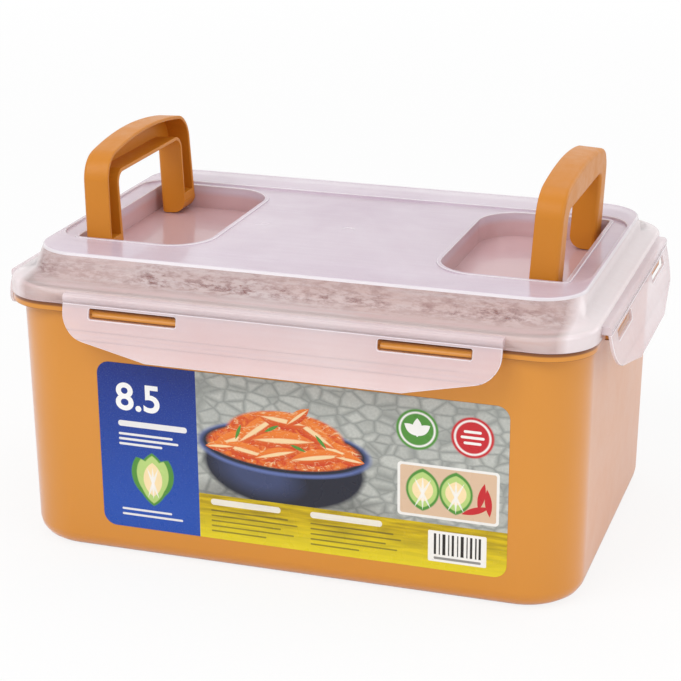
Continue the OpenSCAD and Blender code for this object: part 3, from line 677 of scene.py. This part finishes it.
def paintPanel(zone, look):
    # blue end of the label: a soft glow, plain lines and a pale cabbage
    tree = zone.tree
    upward = spread(tree, zone.height, 0.0, 1.0, 30.0, 105.0)
    colour = mixColor(tree, upward, look["blue"], look["deepBlue"])
    speckle = spread(tree, noise(tree, zone.flat, 1.6, 2.0, 0.7), 0.0, 0.25, 0.55, 0.8)
    colour = mixColor(tree, speckle, colour, look["paleBlue"])
    for end, y, tall in ((-52, 74.5, 3.2), (-60, 69.6, 1.3), (-57, 66.8, 1.3), (-66, 64.0, 1.3),
                         (-62, 27.0, 1.2), (-56, 24.0, 1.2)):
        colour = zone.box(colour, -90, end, y, y + tall, look["white"], corner=tall / 2.2, amount=0.9)
    for halfX, halfY, turn, tint in ((15, 8.5, 90, "leafGreen"), (13, 7.5, 66, "leafGreen"),
                                     (13, 7.5, 114, "leafGreen"), (13.5, 7.0, 90, "paleGreen"),
                                     (11.5, 5.6, 72, "paleGreen"), (11.5, 5.6, 108, "paleGreen"),
                                     (9.5, 5.2, 90, "cream")):
        x = -72 + 9 * math.cos(math.radians(turn))
        colour = zone.leaf(colour, x, 46, halfX, halfY, turn, look[tint], pointed=0.5)
    for turn in (70, 90, 110):
        colour = zone.leaf(colour, -72, 44, 9, 0.7, turn, look["white"], amount=0.85)
    return colour


def labelZone(middle, normal):
    # 0 blue panel, 1 gold band, 2 bowl, 3 inset and badges
    if middle.x < labelLook["panelEdge"]:
        return 0
    if middle.z < labelLook["bandTop"]:
        return 1
    return 2 if middle.x < labelLook["pictureEdge"] else 3


printMaterials = []
for zoneName, painter in (("printedPanelFilm", paintPanel), ("printedBandFilm", paintBand),
                          ("printedBowlFilm", paintBowl), ("printedInsetFilm", paintInset)):
    zone = PrintZone(zoneName)
    printMaterials.append(zone.finish(painter(zone, labelLook), labelLook))
labelCuts = [((labelLook["panelEdge"], 0, 0), (1, 0, 0)), ((labelLook["pictureEdge"], 0, 0), (1, 0, 0)),
             ((0, 0, labelLook["bandTop"]), (0, 0, 1))]
softCopy("label", "labelFilm", "tub", printMaterials, lambda middle, edge: 0.0, labelZone,
         cuts=labelCuts)
print("label printed")


# numerals printed on the blue panel

numeralLook = {
    "text": "8.5", "height": 15.0, "heightOfSize": 0.72, "swell": 0.0004,
    "x": -91.0, "z": 84.0, "lift": 0.06,
    "colour": screenColor(248, 248, 246), "wornColour": screenColor(196, 206, 224),
    "coat": 0.5, "coatRoughness": 0.08, "wallRun": 4.6, "wallRise": 135.0, "film": 0.2,
}


def makeNumerals(look, lean, footY, footZ):
    # flat numerals on the label, whose foot is at footY and footZ and which leans outwards by lean
    curve = bpy.data.curves.new("volumeNumerals", "FONT")
    curve.body = look["text"]
    curve.size = look["height"] * mm / look["heightOfSize"]
    curve.offset = look["swell"]
    curve.fill_mode = "FRONT"
    piece = bpy.data.objects.new("volumeNumerals", curve)
    bpy.context.scene.collection.objects.link(piece)
    up = Vector((0, -math.sin(lean), math.cos(lean)))
    out = Vector((0, -math.cos(lean), -math.sin(lean)))
    rise = (look["z"] - footZ) / math.cos(lean)
    spot = Vector((look["x"] * mm, footY * mm, footZ * mm)) + up * rise * mm + out * look["lift"] * mm
    turn = Matrix((Vector((1, 0, 0)), up, out)).transposed().to_4x4()
    piece.matrix_world = Matrix.Translation(spot) @ turn
    bpy.context.view_layer.update()
    mesh = bpy.data.meshes.new_from_object(piece)
    solid = bpy.data.objects.new("printedNumerals", mesh)
    solid.matrix_world = piece.matrix_world
    bpy.context.scene.collection.objects.link(solid)
    bpy.data.objects.remove(piece)
    material, tree, surface, place = newMaterial("whitePrintInk")
    wear = noise(tree, place, 900.0, 3.0, 0.6)
    worn = spread(tree, wear, 0.0, 0.2, 0.5, 0.9)
    tree.links.new(mixColor(tree, worn, look["colour"], look["wornColour"]), surface["Base Color"])
    tree.links.new(spread(tree, wear, 0.25, 0.4), surface["Roughness"])
    surface["Coat Weight"].default_value = look["coat"]
    surface["Coat Roughness"].default_value = look["coatRoughness"]
    mesh.materials.clear()
    mesh.materials.append(material)
    return solid


lowCorner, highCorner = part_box("label")
wallLean = math.atan(numeralLook["wallRun"] / numeralLook["wallRise"])
numerals = makeNumerals(numeralLook, wallLean, highCorner.y / mm - numeralLook["film"], lowCorner.z / mm)
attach(numerals, "tub")
print("numerals printed")


# floor, light and camera

stageLook = {
    "floor": 12.0, "pale": (0.9, 0.9, 0.9, 1), "lift": 0.85, "fadeFrom": 0.5, "fadeTo": 1.8,
    "ambient": 0.62, "lampAim": Vector((0, 0, 0.1)),
}


def makeFloor(look):
    mesh = bpy.data.meshes.new("paleFloor")
    shape = bmesh.new()
    bmesh.ops.create_grid(shape, x_segments=1, y_segments=1, size=look["floor"])
    shape.to_mesh(mesh)
    shape.free()
    floor = bpy.data.objects.new("paleFloor", mesh)
    bpy.context.scene.collection.objects.link(floor)
    material = bpy.data.materials.new("paleFloorPaint")
    material.use_nodes = True
    tree = material.node_tree
    tree.nodes.clear()
    matte = addNode(tree, "ShaderNodeBsdfDiffuse", {"Color": look["pale"]}).outputs[0]
    glow = addNode(tree, "ShaderNodeEmission", {"Color": (1, 1, 1, 1), "Strength": 1.0}).outputs[0]
    path = addNode(tree, "ShaderNodeLightPath").outputs
    seen = calc(tree, "MAXIMUM", path["Is Camera Ray"], path["Is Transmission Ray"])
    away = calcVector(tree, "LENGTH", addNode(tree, "ShaderNodeTexCoord").outputs["Object"])
    # the far floor melts into the backdrop
    lift = spread(tree, away, look["lift"], 1.0, look["fadeFrom"], look["fadeTo"])
    mixed = addNode(tree, "ShaderNodeMixShader", {0: calc(tree, "MULTIPLY", seen, lift), 1: matte, 2: glow})
    addNode(tree, "ShaderNodeOutputMaterial", {"Surface": mixed.outputs[0]})
    mesh.materials.append(material)
    return floor


makeFloor(stageLook)

world = bpy.data.worlds.new("studioAir")
bpy.context.scene.world = world
world.use_nodes = True
air = world.node_tree
air.nodes.clear()
rays = addNode(air, "ShaderNodeLightPath").outputs
direct = calc(air, "MAXIMUM", rays["Is Camera Ray"], rays["Is Glossy Ray"])
direct = calc(air, "MAXIMUM", direct, rays["Is Transmission Ray"])
strength = calc(air, "ADD", stageLook["ambient"], calc(air, "MULTIPLY", direct, 1.0 - stageLook["ambient"]))
backdrop = addNode(air, "ShaderNodeBackground", {"Color": (1, 1, 1, 1), "Strength": strength})
addNode(air, "ShaderNodeOutputWorld", {"Surface": backdrop.outputs[0]})

lampLooks = {
    "keyPanel": {"at": (-0.9, -1.6, 1.8), "size": (1.6, 1.2), "power": 22.0},
    "sidePanel": {"at": (1.9, -0.9, 1.0), "size": (1.2, 1.2), "power": 9.0},
    "backPanel": {"at": (1.6, 1.5, 0.8), "size": (1.2, 0.8), "power": 5.0},
    "topPanel": {"at": (0.1, 0.4, 2.2), "size": (1.8, 1.4), "power": 9.0},
}
for name, look in lampLooks.items():
    lamp = bpy.data.lights.new(name, "AREA")
    lamp.shape = "RECTANGLE"
    lamp.size, lamp.size_y = look["size"]
    lamp.energy = look["power"]
    piece = bpy.data.objects.new(name, lamp)
    piece.location = look["at"]
    toAim = stageLook["lampAim"] - Vector(look["at"])
    piece.rotation_euler = toAim.to_track_quat("-Z", "Y").to_euler()
    bpy.context.scene.collection.objects.link(piece)

cameraLook = {"at": (0.3118, -0.9876, 0.44932), "turn": (71.1415, -0.1759, 17.7998), "lens": 105.524,
              "sensor": 36.0, "near": 0.01}
view = bpy.data.cameras.new("photoCamera")
view.lens = cameraLook["lens"]
view.sensor_width = cameraLook["sensor"]
view.clip_start = cameraLook["near"]
camera = bpy.data.objects.new("photoCamera", view)
camera.location = cameraLook["at"]
camera.rotation_euler = [math.radians(angle) for angle in cameraLook["turn"]]
bpy.context.scene.collection.objects.link(camera)
bpy.context.scene.camera = camera
bpy.context.scene.view_settings.view_transform = "Standard"
print("floor, light and camera placed")
